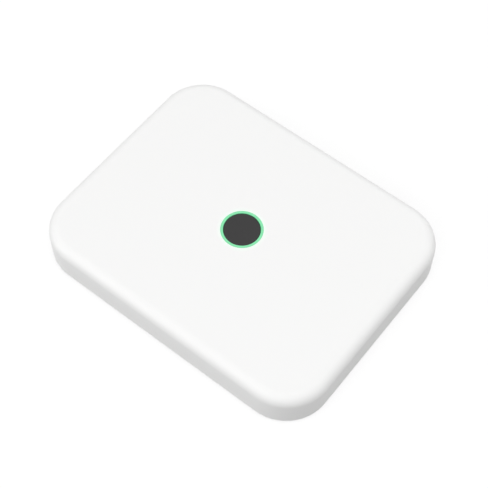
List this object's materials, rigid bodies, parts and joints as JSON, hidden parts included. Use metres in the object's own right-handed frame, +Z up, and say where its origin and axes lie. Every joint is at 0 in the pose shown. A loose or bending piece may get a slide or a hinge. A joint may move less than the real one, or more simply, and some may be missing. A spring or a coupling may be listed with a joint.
{
  "type": "mobile hotspot",
  "caption": "Battery-powered mobile hotspot in a rounded white slab with a central lens and green light ring, power button, USB-C and network ports and a pull-out SIM tray.",
  "frame": {"origin": "on the resting plane, under the middle of the housing", "axes": "+X along the long side, +Y towards the port side, +Z up through the lens"},
  "size_m": [0.13, 0.1028, 0.0166],
  "materials": {
    "housing_plastic": "satin moulded white plastic",
    "foot_rubber": "soft grey rubber",
    "screw_steel": "plated steel",
    "lens_dark": "smoked glossy lens",
    "tape": "double-sided tape",
    "light_diffuser": "diffusing plastic, lit green",
    "shroud_plastic": "black moulded plastic",
    "lamp": "clear lamp body",
    "board_laminate": "green solder mask over laminate",
    "can_metal": "tinned sheet metal",
    "chip_package": "black moulded package",
    "thermal_pad": "soft gap filler",
    "spreader_metal": "rolled sheet",
    "contact_gold": "gold-plated spring metal",
    "plunger_plastic": "natural plastic",
    "sim_plastic": "card plastic",
    "cell_foil": "laminated foil pouch",
    "flex_film": "amber film with copper tracks"
  },
  "bodies": {
    "root": {"antenna_front_left": "flex_film", "antenna_front_middle": "flex_film", "antenna_front_right": "flex_film", "antenna_left": "flex_film", "antenna_right": "flex_film", "antenna_right_rear": "flex_film", "antenna_springs": "contact_gold", "battery_board": "board_laminate", "battery_cell": "cell_foil", "battery_flex": "flex_film", "battery_socket": "chip_package", "battery_tape": "tape", "board_screws": "screw_steel", "bottom_cover": "housing_plastic", "cover_screws": "screw_steel", "foot_front_left": "foot_rubber", "foot_front_right": "foot_rubber", "foot_rear_left": "foot_rubber", "foot_rear_right": "foot_rubber", "heat_spreader": "spreader_metal", "lan_contacts": "contact_gold", "lan_insert": "shroud_plastic", "lan_shield": "can_metal", "lan_transformer": "chip_package", "lens_tape": "tape", "light_guide": "light_diffuser", "light_ring": "light_diffuser", "light_shroud": "shroud_plastic", "main_board": "board_laminate", "memory_chip": "chip_package", "mid_frame": "shroud_plastic", "modem_chip": "chip_package", "modem_shield": "can_metal", "modem_thermal_pad": "thermal_pad", "power_chip": "chip_package", "power_shield": "can_metal", "power_switch": "chip_package", "power_thermal_pad": "thermal_pad", "reset_switch": "chip_package", "sim_socket": "can_metal", "status_leds": "lamp", "status_lens": "lens_dark", "top_housing": "housing_plastic", "usb_insert": "shroud_plastic", "usb_shell": "can_metal", "wifi_chip": "chip_package", "wifi_shield": "can_metal", "wifi_thermal_pad": "thermal_pad"},
    "power_button": {"power_button": "housing_plastic"},
    "power_plunger": {"power_plunger": "plunger_plastic"},
    "reset_plunger": {"reset_plunger": "plunger_plastic"},
    "sim_tray": {"sim_tray": "housing_plastic", "sim_card": "sim_plastic"}
  },
  "joints": [
    {"name": "power_button_press", "type": "slide", "parent": "root", "child": "power_button", "axis": [0, -1, 0], "range_m": [0, 0.0003], "stiffness_N_per_m": 2000, "springref_m": -0.0002},
    {"name": "power_plunger_press", "type": "slide", "parent": "root", "child": "power_plunger", "axis": [0, -1, 0], "range_m": [0, 0.0003]},
    {"name": "reset_plunger_press", "type": "slide", "parent": "root", "child": "reset_plunger", "axis": [0, -1, 0], "range_m": [0, 0.0003], "stiffness_N_per_m": 1000, "springref_m": -0.0002},
    {"name": "sim_tray_pull", "type": "slide", "parent": "root", "child": "sim_tray", "axis": [-1, 0, 0], "range_m": [0, 0.0175]}
  ],
  "couplings": [
    {"joint": "power_plunger_press", "follows": "power_button_press", "ratio": 1}
  ]
}
